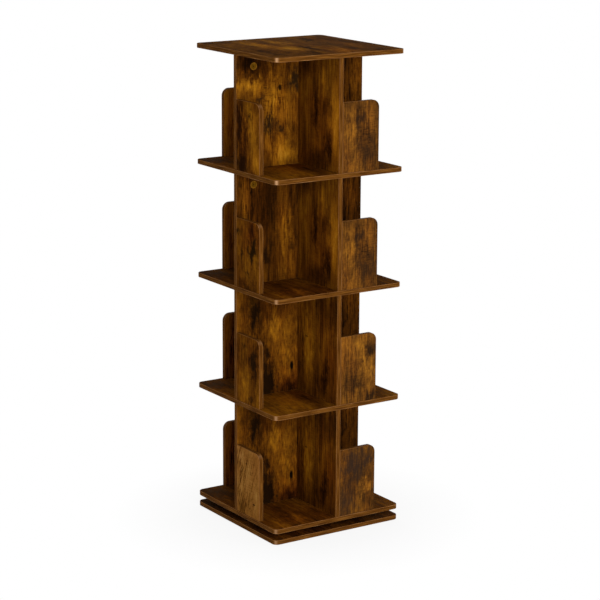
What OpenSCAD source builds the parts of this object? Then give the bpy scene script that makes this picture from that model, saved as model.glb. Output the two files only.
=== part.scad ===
// Revolving bookcase: four tiers of open compartments round a plus-shaped
// core of dividers, standing on a base board through a steel ball swivel.
// Millimetres. The origin is the centre of the footprint at floor level, +Z up.

/* [Boards] */
// Side of the square base, shelves and top board
board_w = 390; // [320:1:480]
// Thickness of every board
board_t = 12; // [11:0.5:18]
// Radius of the four corners of each square board
corner_r = 15; // [4:1:30]
// Clear height of one tier, which is also the height of its dividers
tier_h = 291; // [230:1:340]
// How far the dividers and book stops stand back from the board edges
setback = 1.5; // [0.5:0.5:6]

/* [Book stops] */
// Width of a book stop, from the divider it butts against
stop_w = 110; // [80:1:130]
// Height of a book stop above its shelf
stop_h = 180; // [140:1:210]
// Radius of the stop's free upper corner
stop_r = 20; // [5:1:40]

/* [Swivel] */
// Height of the swivel, from the base board to the bottom shelf
swivel_h = 17.5; // [16:0.5:24]
// Side of the two square swivel plates
plate_w = 180; // [172:1:220]
// Thickness of the swivel plates
plate_t = 2.5; // [1.5:0.25:3.5]
// Corner radius of the swivel plates
plate_r = 14; // [6:1:20]
// Distance of the corner fixings from the plate edges
plate_hole_inset = 17.5; // [14:0.5:20]
// Radius of the circle that the bearing balls run on
race_circle_r = 60; // [45:1:66]
// Width of the race ring on each plate
race_w = 20; // [16:1:24]
// Diameter of the bearing balls
ball_d = 9; // [7:0.5:10]
// Number of bearing balls
ball_count = 20; // [8:1:22]
// Thickness of the ball cage
cage_t = 3; // [2:0.25:4]
// Width of the ball cage ring
cage_w = 16; // [14:1:20]
// Air between the cage and each race ring
cage_gap = 1; // [0.5:0.25:1.5]
// Outer diameter of the hollow pivot rivet
pivot_d = 20; // [14:0.5:30]
// Wall of the hollow pivot rivet
pivot_wall = 3; // [2:0.25:4]
// How far the pivot's rolled flanges stand out from its wall
pivot_lip = 5; // [3:0.5:8]
// Thickness of the pivot's rolled flanges
pivot_lip_t = 2; // [1:0.25:2.5]

/* [Feet] */
// Diameter of the foot pads
pad_d = 30; // [16:1:40]
// Thickness of the foot pads
pad_t = 1.5; // [1:0.25:4]
// Distance of the corner pads' centres from the base edges
pad_inset = 35; // [25:1:60]

/* [Cam fittings] */
// Diameter of a cam lock
cam_d = 15; // [12:0.5:18]
// Distance of a cam lock from its divider's outer end
cam_from_end = 52; // [46:1:58]
// Distance of a cam lock's centre below its divider's top edge
cam_below_top = 31; // [24:1:36]
// Board left behind a cam pocket
cam_floor = 2; // [1.5:0.25:3]
// How deep a cam lock sits below the divider's face
cam_sink = 0.3; // [0.2:0.1:0.8]
// Diameter of the cam's drive recess
cam_drive_d = 4; // [3.5:0.25:6]
// Diameter of the cam bolt's threaded end
cam_bolt_d = 6; // [4:0.5:7]
// Diameter of the cam bolt's neck
cam_bolt_neck_d = 5; // [3:0.25:5.5]
// Diameter of the cam bolt's head
cam_bolt_head_d = 6.5; // [5.5:0.25:7]
// Length of the cam bolt's head
cam_bolt_head_l = 5; // [3:0.5:6]
// How far the cam bolt's head reaches past the cam's centre
cam_bolt_reach = 3; // [1:0.5:4]
// Diameter of a cam cover cap
cover_d = 20; // [19:0.5:24]
// Thickness of a cam cover cap
cover_t = 1; // [0.6:0.1:1.6]
// Diameter of the peg that holds a cover cap in its cam
cover_peg_d = 2.8; // [2:0.1:3.2]

/* [Dowels] */
// Diameter of the wooden dowels
dowel_d = 6; // [5:0.5:8]
// Chamfer on the ends of the dowels
dowel_chamfer = 0.8; // [0.4:0.1:1.2]
// Distance of a divider's upper dowel from its outer end
dowel_from_end = 120; // [112:1:128]
// Depth of a dowel along a board, into its edge
dowel_edge_depth = 20; // [14:1:26]
// Height of the stop's dowel above its shelf
stop_dowel_h = 120; // [60:1:130]
// Depth of a cross dowel in each half divider
cross_dowel_depth = 14; // [8:1:20]
// Height of the lower cross dowel above its shelf
cross_dowel_low = 80; // [50:1:100]
// Distance between the two cross dowels of a tier
cross_dowel_pitch = 120; // [60:1:130]
// Board left behind a blind hole in a board's face
blind_floor = 3; // [2:0.5:4]

/* [Screws] */
// Shank diameter of the wood screws
screw_d = 4; // [3:0.25:4.5]
// Head diameter of the wood screws
screw_head_d = 7.5; // [6.5:0.25:9]
// Depth of a wood screw in the edge of the board it holds
screw_edge_depth = 26; // [18:1:32]
// Length of a wood screw's point
screw_point = 4; // [2:0.5:5]
// Distance of a divider's first screw from its outer end
screw_from_end = 30; // [24:1:36]
// Distance between the two screws under a divider
screw_pitch = 60; // [48:1:70]
// Distance of a stop's screws from its two side edges
stop_screw_inset = 25; // [12:1:35]
// Shank diameter of the base bolts
bolt_d = 5; // [4:0.5:6]
// Head diameter of the base bolts
bolt_head_d = 10; // [9:0.25:12]
// Width across the corners of the weld nuts
nut_d = 9.2; // [8.5:0.1:12]
// Height of the weld nuts
nut_h = 4; // [3:0.5:5]
// Height of the swivel screws' pan heads
pan_h = 2.5; // [1.5:0.25:3]

/* [Clearances] */
// Running clearance of the upper plate round the pivot, on radius
pivot_play = 0.05; // [0.02:0.01:0.1]
// Clearance of the balls to the races and to the cage
ball_play = 0.3; // [0.2:0.05:0.4]
// Clearance of the pivot's upper flange above the upper plate
lip_play = 0.3; // [0.2:0.05:0.6]
// Clearance round the pivot's flanges in the boards
relief_play = 1.5; // [0.5:0.25:3]
// Clearance of screws, bolts, dowels and cams in their holes, on radius
hole_play = 0.1; // [0.05:0.05:0.2]
// Clearance at the ends of screws, dowels and pegs in blind holes
end_play = 0.4; // [0.2:0.1:0.8]
// Air between a cover cap's peg and the cam bolt behind it
peg_air = 0.75; // [0.4:0.05:1.2]

/* [Hidden] */
TIERS = 4;
LEGS = ["left", "front", "right", "rear"];
$fn = 64;
// Overlap that lets a cut run cleanly through a face
CUT = 1;
// Sides of a hexagon nut
HEX = 6;

// Finishes
WOOD = "#6b4316";
BIRCH = "#d8b98a";
STEEL = "#9a9c9e";
BLACK_STEEL = "#2a2a2b";
ZINC = "#b4b6b8";
NYLON = "#e4e0d4";
RUBBER = "#1d1c1b";
CAP = "#8a5f14";

// Heights, from the floor up
base_z = pad_t;
swivel_z = base_z + board_t;
race_mid_z = swivel_z + swivel_h / 2;
bottom_shelf_z = swivel_z + swivel_h;
upper_plate_z = bottom_shelf_z - plate_t;
storey = tier_h + board_t;
function shelf_z(level) = bottom_shelf_z + level * storey;
function floor_z(tier) = shelf_z(tier - 1) + board_t;
function ceiling_z(tier) = shelf_z(tier);

// Plan of one leg of the core, which points along -X from the axis
half_t = board_t / 2;
leg_l = board_w / 2 - setback;
cam_x = cam_from_end - leg_l;
dowel_x = dowel_from_end - leg_l;
screw_xs = [for (i = [0, 1]) screw_from_end + i * screw_pitch - leg_l];
stop_x = half_t - leg_l;
stop_screw_ys = [-half_t - stop_screw_inset, -half_t - stop_w + stop_screw_inset];
cross_dowel_hs = [cross_dowel_low, cross_dowel_low + cross_dowel_pitch];
pad_xy = board_w / 2 - pad_inset;
plate_hole_xy = plate_w / 2 - plate_hole_inset;

// Fittings
blind_depth = board_t - blind_floor;
cam_pocket_depth = board_t - cam_floor;
cam_h = cam_pocket_depth - cam_sink - hole_play;
cover_peg_l = half_t - cam_bolt_head_d / 2 - peg_air;
cam_drive_depth = cover_peg_l + end_play;
race_half_gap = cage_t / 2 + cage_gap;
pivot_lip_d = pivot_d + 2 * pivot_lip;
relief_d = pivot_lip_d + 2 * relief_play;
relief_low_depth = pivot_lip_t + relief_play;
relief_high_depth = lip_play + pivot_lip_t + relief_play;
bolt_head_h = (bolt_head_d - bolt_d) / 2;
swivel_screw_depth = blind_depth;

// Repeats its children on the four legs of the core, a quarter turn apart
module on_legs() {
    for (leg = [0 : len(LEGS) - 1]) rotate(90 * leg) children();
}

// Repeats its children on every tier, with $tier set
module on_tiers() {
    for (tier = [1 : TIERS]) {
        $tier = tier;
        children();
    }
}

// Repeats its children at the four corners of a square
module at_corners(xy) {
    for (x = [-xy, xy], y = [-xy, xy]) translate([x, y, 0]) children();
}

// Square outline with round corners
module rounded_square(w, r) {
    square([w - 2 * r, w], center = true);
    square([w, w - 2 * r], center = true);
    at_corners(w / 2 - r) circle(r);
}

// Plain square board with its underside at height z
module board(z) {
    translate([0, 0, z]) linear_extrude(board_t) rounded_square(board_w, corner_r);
}

// Countersunk screw pointing up, its head flush with z = 0
module countersunk_screw(d, head_d, length, point) {
    head_h = (head_d - d) / 2;
    cylinder(d1 = head_d, d2 = d, h = head_h);
    cylinder(d = d, h = length - point);
    translate([0, 0, length - point]) cylinder(d1 = d, d2 = d / 4, h = point);
}

// Hole for a countersunk screw, drawn like the screw and wider by the play
module countersunk_hole(d, head_d, length) {
    head_h = (head_d - d) / 2;
    cylinder(d1 = head_d + 2 * hole_play, d2 = d + 2 * hole_play, h = head_h);
    translate([0, 0, -CUT]) cylinder(d = d + 2 * hole_play, h = length + CUT);
}

// Wooden dowel with chamfered ends, standing on z = 0
module dowel(length) {
    rotate_extrude() polygon([
        [0, 0],
        [dowel_d / 2 - dowel_chamfer, 0],
        [dowel_d / 2, dowel_chamfer],
        [dowel_d / 2, length - dowel_chamfer],
        [dowel_d / 2 - dowel_chamfer, length],
        [0, length]
    ]);
}

// Straight hole for a dowel
module dowel_hole(length) {
    cylinder(d = dowel_d + 2 * hole_play, h = length);
}

// Underside holes of a shelf for the screws of the tier that stands on it
module shelf_screw_holes() {
    for (x = screw_xs) translate([x, 0, 0]) countersunk_hole(screw_d, screw_head_d, board_t + CUT);
    for (y = stop_screw_ys) {
        translate([stop_x, y, 0]) countersunk_hole(screw_d, screw_head_d, board_t + CUT);
    }
}

// Blind underside holes of a shelf for the cam bolts and dowels of the tier below
module shelf_fitting_holes() {
    translate([cam_x, 0, -CUT]) cylinder(d = cam_bolt_d + 2 * hole_play, h = blind_depth + CUT);
    translate([dowel_x, 0, -CUT]) dowel_hole(blind_depth + CUT);
}

// Shelf at a level: 0 is the bottom shelf and TIERS the top board
module shelf(level) {
    difference() {
        board(shelf_z(level));
        translate([0, 0, shelf_z(level)]) on_legs() {
            if (level < TIERS) shelf_screw_holes();
            if (level > 0) shelf_fitting_holes();
        }
        if (level == 0) bottom_shelf_swivel_holes();
    }
}

// Relief for the pivot's upper flange and pilot holes for the swivel screws
module bottom_shelf_swivel_holes() {
    translate([0, 0, bottom_shelf_z - CUT]) {
        cylinder(d = relief_d, h = relief_high_depth + CUT);
        at_corners(plate_hole_xy) cylinder(d = screw_d + 2 * hole_play, h = swivel_screw_depth + CUT);
    }
}

// Holes that every leg of a divider has, for a divider standing on z = 0
module leg_holes() {
    translate([cam_x, -half_t - CUT, tier_h - cam_below_top]) rotate([-90, 0, 0]) {
        cylinder(d = cam_d + 2 * hole_play, h = cam_pocket_depth + CUT);
    }
    translate([cam_x, 0, tier_h - cam_below_top]) {
        cylinder(d = cam_bolt_head_d + 2 * hole_play, h = cam_below_top + CUT);
    }
    translate([dowel_x, 0, tier_h - dowel_edge_depth]) dowel_hole(dowel_edge_depth + CUT);
    for (x = screw_xs) translate([x, 0, -CUT]) {
        cylinder(d = screw_d + 2 * hole_play, h = screw_edge_depth + CUT);
    }
    translate([stop_x, -half_t - CUT, stop_dowel_h]) rotate([-90, 0, 0]) dowel_hole(blind_depth + CUT);
}

// Full-width divider of a tier, the left and right legs of the core
module through_divider(tier) {
    color(WOOD) translate([0, 0, floor_z(tier)]) difference() {
        translate([-leg_l, -half_t, 0]) cube([2 * leg_l, board_t, tier_h]);
        for (turn = [0, 180]) rotate(turn) leg_holes();
        for (h = cross_dowel_hs) translate([0, half_t + CUT, h]) {
            rotate([90, 0, 0]) dowel_hole(board_t + 2 * CUT);
        }
    }
}

// Half divider that butts against the through divider
module half_divider(tier, turn) {
    color(WOOD) translate([0, 0, floor_z(tier)]) rotate(turn) difference() {
        translate([-leg_l, -half_t, 0]) cube([leg_l - half_t, board_t, tier_h]);
        leg_holes();
        for (h = cross_dowel_hs) translate([CUT - half_t, 0, h]) {
            rotate([0, -90, 0]) dowel_hole(cross_dowel_depth + CUT);
        }
    }
}

// Outline of a book stop, with the divider along x = 0 and one round corner
module stop_outline() {
    translate([stop_r - stop_w, 0]) square([stop_w - stop_r, stop_h]);
    translate([-stop_w, 0]) square([stop_w, stop_h - stop_r]);
    translate([stop_r - stop_w, stop_h - stop_r]) circle(stop_r);
}

// Book stop on one leg of a tier
module book_stop(tier, leg) {
    color(WOOD) rotate(90 * leg) translate([0, 0, floor_z(tier)]) difference() {
        translate([-leg_l, -half_t, 0]) rotate([90, 0, 90]) linear_extrude(board_t) stop_outline();
        for (y = stop_screw_ys) translate([stop_x, y, -CUT]) {
            cylinder(d = screw_d + 2 * hole_play, h = screw_edge_depth + CUT);
        }
        translate([stop_x, CUT - half_t, stop_dowel_h]) {
            rotate([90, 0, 0]) dowel_hole(dowel_edge_depth + CUT);
        }
    }
}

// Board that lies on the floor and carries the swivel
module base_board() {
    color(WOOD) difference() {
        board(base_z);
        translate([0, 0, swivel_z - relief_low_depth]) cylinder(d = relief_d, h = relief_low_depth + CUT);
        translate([0, 0, base_z]) at_corners(plate_hole_xy) {
            countersunk_hole(bolt_d, bolt_head_d, board_t + CUT);
        }
    }
}

// Thin pads under the base: one at each corner and one under the swivel
module foot_pads() {
    color(RUBBER) {
        at_corners(pad_xy) cylinder(d = pad_d, h = pad_t);
        cylinder(d = pad_d, h = pad_t);
    }
}

// Bolts that come up through the base into the weld nuts
module base_bolts() {
    color(ZINC) translate([0, 0, base_z]) at_corners(plate_hole_xy) {
        cylinder(d1 = bolt_head_d, d2 = bolt_d, h = bolt_head_h);
        cylinder(d = bolt_d, h = board_t + plate_t + nut_h);
    }
}

// Square plate of the swivel with its underside on z = 0, without its race
module swivel_sheet(centre_d, corner_d) {
    difference() {
        linear_extrude(plate_t) rounded_square(plate_w, plate_r);
        translate([0, 0, -CUT]) {
            cylinder(d = centre_d, h = plate_t + 2 * CUT);
            at_corners(plate_hole_xy) cylinder(d = corner_d, h = plate_t + 2 * CUT);
        }
    }
}

// Race ring between two heights, with the groove that the balls run in
module race_ring(low, high) {
    rotate_extrude() difference() {
        translate([race_circle_r - race_w / 2, low]) square([race_w, high - low]);
        translate([race_circle_r, race_mid_z]) circle(d = ball_d + 2 * ball_play);
    }
}

// Lower plate, bolted to the base, with its race ring upwards
module swivel_lower_plate() {
    color(BLACK_STEEL) {
        translate([0, 0, swivel_z]) swivel_sheet(pivot_d + 2 * pivot_play, bolt_d + 2 * hole_play);
        race_ring(swivel_z, race_mid_z - race_half_gap);
    }
}

// Upper plate, screwed to the bottom shelf, with its race ring downwards
module swivel_upper_plate() {
    color(BLACK_STEEL) {
        translate([0, 0, upper_plate_z]) swivel_sheet(pivot_d + 2 * pivot_play, screw_d + 2 * hole_play);
        race_ring(race_mid_z + race_half_gap, bottom_shelf_z);
    }
}

// Nuts welded on the lower plate
module weld_nuts() {
    color(ZINC) translate([0, 0, swivel_z + plate_t]) at_corners(plate_hole_xy) difference() {
        cylinder(d = nut_d, h = nut_h, $fn = HEX);
        translate([0, 0, -CUT]) cylinder(d = bolt_d + 2 * hole_play, h = nut_h + 2 * CUT);
    }
}

// Hollow rivet that holds the two plates together and is the axis of the turn
module swivel_pivot() {
    low = swivel_z - pivot_lip_t;
    high = bottom_shelf_z + lip_play;
    color(ZINC) difference() {
        union() {
            translate([0, 0, low]) cylinder(d = pivot_lip_d, h = pivot_lip_t);
            translate([0, 0, low]) cylinder(d = pivot_d, h = high + pivot_lip_t - low);
            translate([0, 0, high]) cylinder(d = pivot_lip_d, h = pivot_lip_t);
        }
        translate([0, 0, low - CUT]) {
            cylinder(d = pivot_d - 2 * pivot_wall, h = high + pivot_lip_t - low + 2 * CUT);
        }
    }
}

// Puts its children on the ball circle, at the height of the ball centres
module on_ball_circle() {
    translate([0, 0, race_mid_z]) {
        for (i = [0 : ball_count - 1]) {
            rotate(i * 360 / ball_count) translate([race_circle_r, 0, 0]) children();
        }
    }
}

// Ring that keeps the balls apart
module ball_cage() {
    color(NYLON) difference() {
        translate([0, 0, race_mid_z - cage_t / 2]) difference() {
            cylinder(r = race_circle_r + cage_w / 2, h = cage_t);
            translate([0, 0, -CUT]) cylinder(r = race_circle_r - cage_w / 2, h = cage_t + 2 * CUT);
        }
        on_ball_circle() cylinder(d = ball_d + 2 * ball_play, h = cage_t + 2 * CUT, center = true);
    }
}

// Steel balls of the swivel
module bearing_balls() {
    color(STEEL) on_ball_circle() sphere(d = ball_d);
}

// Pan head screws that hold the upper plate to the bottom shelf
module swivel_screws() {
    length = plate_t + swivel_screw_depth - end_play;
    color(ZINC) translate([0, 0, upper_plate_z]) at_corners(plate_hole_xy) {
        translate([0, 0, -pan_h]) cylinder(d = screw_head_d, h = pan_h);
        cylinder(d = screw_d, h = length - screw_point);
        translate([0, 0, length - screw_point]) cylinder(d1 = screw_d, d2 = screw_d / 4, h = screw_point);
    }
}

// Countersunk screws up through each shelf into the dividers above it
module divider_screws() {
    color(ZINC) on_tiers() translate([0, 0, shelf_z($tier - 1)]) on_legs() {
        for (x = screw_xs) translate([x, 0, 0]) {
            countersunk_screw(screw_d, screw_head_d, board_t + screw_edge_depth - end_play, screw_point);
        }
    }
}

// Countersunk screws up through each shelf into the book stops above it
module stop_screws() {
    color(ZINC) on_tiers() translate([0, 0, shelf_z($tier - 1)]) on_legs() {
        for (y = stop_screw_ys) translate([stop_x, y, 0]) {
            countersunk_screw(screw_d, screw_head_d, board_t + screw_edge_depth - end_play, screw_point);
        }
    }
}

// Cam locks in the pockets of the dividers, with a slot for the bolt's head
module cam_locks() {
    color(ZINC) on_tiers() on_legs() translate([cam_x, 0, ceiling_z($tier) - cam_below_top]) difference() {
        translate([0, cam_sink - half_t, 0]) rotate([-90, 0, 0]) cylinder(d = cam_d, h = cam_h);
        translate([0, -half_t, 0]) rotate([-90, 0, 0]) cylinder(d = cam_drive_d, h = cam_drive_depth);
        translate([0, 0, -cam_bolt_reach - end_play]) {
            cylinder(d = cam_bolt_head_d + 2 * hole_play, h = cam_d + cam_bolt_reach);
        }
    }
}

// Bolts that hang from each shelf into the cam locks of the dividers below it
module cam_bolts() {
    hang = cam_below_top + cam_bolt_reach;
    color(ZINC) on_tiers() on_legs() translate([cam_x, 0, ceiling_z($tier)]) {
        cylinder(d = cam_bolt_d, h = blind_depth - end_play);
        translate([0, 0, -hang]) cylinder(d = cam_bolt_head_d, h = cam_bolt_head_l);
        translate([0, 0, -hang]) cylinder(d = cam_bolt_neck_d, h = hang);
    }
}

// Round caps over the cam locks, each with a peg in the cam's drive recess
module cam_covers() {
    color(CAP) on_tiers() on_legs() translate([cam_x, -half_t, ceiling_z($tier) - cam_below_top]) {
        rotate([90, 0, 0]) cylinder(d = cover_d, h = cover_t);
        rotate([-90, 0, 0]) cylinder(d = cover_peg_d, h = cover_peg_l);
    }
}

// Dowels between the dividers' top edges and the shelf above
module divider_dowels() {
    length = blind_depth + dowel_edge_depth - 2 * end_play;
    color(BIRCH) on_tiers() on_legs() {
        translate([dowel_x, 0, ceiling_z($tier) - dowel_edge_depth + end_play]) dowel(length);
    }
}

// Dowels between the book stops and the dividers they butt against
module stop_dowels() {
    length = blind_depth + dowel_edge_depth - 2 * end_play;
    color(BIRCH) on_tiers() on_legs() {
        translate([stop_x, blind_depth - half_t - end_play, floor_z($tier) + stop_dowel_h]) {
            rotate([90, 0, 0]) dowel(length);
        }
    }
}

// Dowels through the through dividers into the half dividers on both sides
module cross_dowels() {
    length = board_t + 2 * (cross_dowel_depth - end_play);
    color(BIRCH) on_tiers() for (h = cross_dowel_hs) {
        translate([0, length / 2, floor_z($tier) + h]) rotate([90, 0, 0]) dowel(length);
    }
}

base_board();
foot_pads();
base_bolts();
swivel_lower_plate();
weld_nuts();
swivel_pivot();
ball_cage();
bearing_balls();
swivel_upper_plate();
swivel_screws();
color(WOOD) shelf(0);  // bottom_shelf
color(WOOD) shelf(1);  // lower_shelf
color(WOOD) shelf(2);  // middle_shelf
color(WOOD) shelf(3);  // upper_shelf
color(WOOD) shelf(TIERS);  // top_board
for (tier = [1 : TIERS]) {
    through_divider(tier);
    half_divider(tier, 90);
    half_divider(tier, -90);
    for (leg = [0 : len(LEGS) - 1]) {
        book_stop(tier, leg);
    }
}
cam_locks();
cam_bolts();
cam_covers();
divider_dowels();
stop_dowels();
cross_dowels();
divider_screws();
stop_screws();
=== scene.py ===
"""Revolving bookcase: printed decor boards, edge bands, fittings, a ball swivel and a plain studio."""

import logging
import math
from collections.abc import Iterable, Sequence
from dataclasses import dataclass, field, replace
from enum import Enum, IntEnum
from typing import Any

import bmesh
import bpy
from mathutils import Matrix, Vector


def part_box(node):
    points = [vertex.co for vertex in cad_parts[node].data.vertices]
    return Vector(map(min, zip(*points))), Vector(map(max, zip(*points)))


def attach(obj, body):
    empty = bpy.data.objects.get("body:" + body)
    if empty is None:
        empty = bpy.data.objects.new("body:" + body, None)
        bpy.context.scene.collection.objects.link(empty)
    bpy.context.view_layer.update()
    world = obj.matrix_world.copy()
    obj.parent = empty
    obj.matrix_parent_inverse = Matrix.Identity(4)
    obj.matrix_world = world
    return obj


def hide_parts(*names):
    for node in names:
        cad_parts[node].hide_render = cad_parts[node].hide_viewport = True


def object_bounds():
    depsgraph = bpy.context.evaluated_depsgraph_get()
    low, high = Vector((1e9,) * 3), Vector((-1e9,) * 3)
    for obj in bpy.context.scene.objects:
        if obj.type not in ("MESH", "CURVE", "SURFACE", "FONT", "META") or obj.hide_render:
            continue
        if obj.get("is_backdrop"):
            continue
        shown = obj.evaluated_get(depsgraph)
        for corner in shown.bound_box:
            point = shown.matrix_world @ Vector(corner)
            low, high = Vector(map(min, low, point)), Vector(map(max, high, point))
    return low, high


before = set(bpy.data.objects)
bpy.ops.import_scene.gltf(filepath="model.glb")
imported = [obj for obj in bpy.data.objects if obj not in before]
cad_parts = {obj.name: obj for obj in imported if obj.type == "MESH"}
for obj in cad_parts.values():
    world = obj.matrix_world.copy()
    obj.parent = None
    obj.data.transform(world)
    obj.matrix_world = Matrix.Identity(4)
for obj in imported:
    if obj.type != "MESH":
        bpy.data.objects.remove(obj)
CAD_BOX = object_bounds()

BMesh = bmesh.types.BMesh
Material = bpy.types.Material
Piece = bpy.types.Object
Socket = bpy.types.NodeSocket
Tree = bpy.types.NodeTree
Pair = tuple[float, float]
Point = tuple[float, float, float]
Row = tuple[float, float, float, float, float]
Stops = tuple[tuple[float, str], ...]

log = logging.getLogger("bookcase")

# Sizes are in millimetres, except in the studio, and this turns them to metres.
MM = 0.001
QUARTER = math.pi / 2
# The UV map of the decor paper, and the attribute that holds the painted highlight of the edge band half way
# round each bend.
PAPER = "paper"
PAINTED_HIGHLIGHT_ATTRIBUTE = "bend"
# Edges that turn less than this many degrees are shaded smooth.
SMOOTH_BELOW = 15.0
# A direction of length 1 runs along an axis from the first component on, and leans to it from the second on.
ALONG = 0.9
LEANING = 0.2


class Axis(Enum):
    """A direction of the shared frame."""

    X = 0
    Y = 1
    Z = 2


class Leg(Enum):
    """The four legs of the cross that the dividers form, in quarter turns from -X."""

    LEFT = 0
    FRONT = 1
    RIGHT = 2
    REAR = 3

    def turn(self) -> Matrix:
        """The turn that takes the left leg to this one."""
        return Matrix.Rotation(self.value * QUARTER, 4, "Z")


class Skin(IntEnum):
    """The material slots of a board; the far face looks towards +X, +Y or +Z."""

    FACE = 0
    EDGE = 1
    ARRIS = 2
    CORE = 3
    FAR = 4


class CapSkin(IntEnum):
    """The material slots of the cam caps."""

    RIM = 0
    DISH = 1
    UMBER = 2


class Tint(Enum):
    """What a mark in the decor print does to the wood tone."""

    HONEY = "lighter"
    UMBER = "darker"
    RUST = "redder"
    VEIN = "dark lines along the grain"
    HATCH = "saw scratches across the grain"
    # Burnt patches of the print; the same mark also lays painted shade and a painted grey sheen.
    SOOT = "burnt"
    KNOT = "knot"


# Small helpers


def linear(hex_code: str) -> tuple[float, float, float, float]:
    """Turns an sRGB colour into Blender's linear one.

    Args:
        hex_code: the colour as "#rrggbb".

    Returns:
        Linear red, green, blue and an alpha of 1.
    """
    values = [int(hex_code[i:i + 2], 16) / 255 for i in (1, 3, 5)]
    red, green, blue = [v / 12.92 if v <= 0.04045 else ((v + 0.055) / 1.055) ** 2.4 for v in values]
    return red, green, blue, 1.0


def add_node(
    tree: Tree,
    kind: str,
    inputs: dict[str | int, Any] | None = None,
    out: str | int = 0,
    stops: Stops = (),
    **settings: Any,
) -> Socket | None:
    """Adds one shader node with its settings, values and links.

    Args:
        tree: the node tree.
        kind: Blender's name of the node type, without its prefix.
        inputs: a value, or a socket to link, for each input by name or number.
        out: the wanted output, by name or number.
        stops: the places and hex colours of a colour ramp.
        settings: properties of the node.

    Returns:
        That output, if the node has any.
    """
    node = tree.nodes.new("ShaderNode" + kind)
    for key, value in settings.items():
        setattr(node, key, value)
    for key, value in (inputs or {}).items():
        if isinstance(value, Socket):
            tree.links.new(value, node.inputs[key])
        else:
            node.inputs[key].default_value = value
    for i, (place, colour) in enumerate(stops):
        elements = node.color_ramp.elements
        element = elements[i] if i < len(elements) else elements.new(place)
        element.position = place
        element.color = linear(colour)
    return node.outputs[out] if node.outputs else None


def seen_directly(tree: Tree) -> Socket:
    """Adds the nodes that tell rays that show a surface from those that only bring light.

    Args:
        tree: the node tree.

    Returns:
        1 for rays from the camera, a mirror or glass, else 0.
    """
    seen = add_node(tree, "LightPath", out="Is Camera Ray")
    rays = seen.node.outputs
    for name in ("Is Glossy Ray", "Is Transmission Ray"):
        seen = add_node(tree, "Math", {0: seen, 1: rays[name]}, operation="MAXIMUM")
    return seen


def per_size(across: float, along: float, deep: float = 1.0) -> Point:
    """The Mapping scale that makes a noise feature this many millimetres big, by direction."""
    return 1 / (across * MM), 1 / (along * MM), 1 / (deep * MM)


def centred(u: float, v: float, across: float, along: float) -> dict[str, Point]:
    """The Mapping values that make a spot in millimetres the origin, and a size in millimetres one unit."""
    return {"Location": (u * MM, v * MM, 0.0), "Scale": (across * MM, along * MM, 1.0)}


def finish_mesh(bm: BMesh, name: str, smooth_below: float = SMOOTH_BELOW) -> Piece:
    """Makes an object at the origin from a bmesh.

    Args:
        bm: the shape, which is freed.
        name: the piece's name.
        smooth_below: edges that turn less than this many degrees are shaded smooth.

    Returns:
        The new object, linked to the scene.
    """
    bmesh.ops.recalc_face_normals(bm, faces=bm.faces)
    mesh = bpy.data.meshes.new(name)
    bm.to_mesh(mesh)
    bm.free()
    mesh.shade_smooth()
    mesh.set_sharp_from_angle(angle=math.radians(smooth_below))
    piece = bpy.data.objects.new(name, mesh)
    bpy.context.scene.collection.objects.link(piece)
    return piece


def lathe(bm: BMesh, profile: Iterable[Pair], steps: int, place: Matrix) -> list[bmesh.types.BMVert]:
    """Spins a profile round the Z axis and puts the result in place.

    Args:
        bm: the bmesh that gets the shape.
        profile: radius and height of each point in millimetres.
        steps: sides of the round.
        place: where the shape goes.

    Returns:
        The vertices of the new shape.
    """
    before = set(bm.verts)
    points = [bm.verts.new((radius * MM, 0.0, height * MM)) for radius, height in profile]
    edges = [bm.edges.new(pair) for pair in zip(points, points[1:])]
    bmesh.ops.spin(
        bm, geom=points + edges, cent=(0, 0, 0), axis=(0, 0, 1), dvec=(0, 0, 0),
        angle=2 * math.pi, steps=steps, use_merge=True,
    )
    made = [v for v in bm.verts if v not in before]
    bmesh.ops.remove_doubles(bm, verts=made, dist=MM / 1000)
    made = [v for v in bm.verts if v not in before]
    bmesh.ops.transform(bm, matrix=place, verts=made)
    return made


def ride_for(piece: Piece, node: str, body: str) -> Piece:
    """Makes a piece stand for a CAD node and move with its body.

    Args:
        piece: the finished piece.
        node: the CAD node.
        body: the CAD body.

    Returns:
        The piece.
    """
    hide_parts(node)
    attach(piece, body)
    log.info("%s stands for %s on %s", piece.name, node, body)
    return piece


# Finishes


@dataclass(frozen=True)
class Finish:
    """What every finish has: a name, a gloss, a roughness that follows its noise, and a fine relief."""

    name: str
    gloss: float = 0.5
    metallic: float = 0.0
    # The roughness goes from the first value to the second while the noise crosses the span.
    rough: Pair = (0.4, 0.5)
    span: Pair = (0.3, 0.7)
    # How much of the relief shows, and its depth in metres.
    bump: float = 0.3
    relief: float = 0.0001

    def paint(self, tree: Tree) -> tuple[Socket, Socket, Socket]:
        """Gives the colour, the noise that the roughness follows, and the height of the relief."""
        raise NotImplementedError

    def make(self) -> Material:
        """Makes the material.

        Returns:
            The material.
        """
        material = bpy.data.materials.new(self.name)
        material.use_nodes = True
        tree = material.node_tree
        colour, noise, height = self.paint(tree)
        rough = add_node(tree, "MapRange", {
            "Value": noise, "From Min": self.span[0], "From Max": self.span[1],
            "To Min": self.rough[0], "To Max": self.rough[1],
        })
        normal = add_node(tree, "Bump", {"Strength": self.bump, "Distance": self.relief, "Height": height})
        shader = tree.nodes["Principled BSDF"].inputs
        shader["Metallic"].default_value = self.metallic
        shader["Specular IOR Level"].default_value = self.gloss
        for name, socket in (("Base Color", colour), ("Roughness", rough), ("Normal", normal)):
            tree.links.new(socket, shader[name])
        return material


@dataclass(frozen=True)
class Mark:
    """One mark of the decor print, in millimetres on the face.

    u runs across the grain and v along it, and the half sizes say how far the mark reaches.
    """

    u: float
    v: float
    half_u: float
    half_v: float
    strength: float


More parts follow.
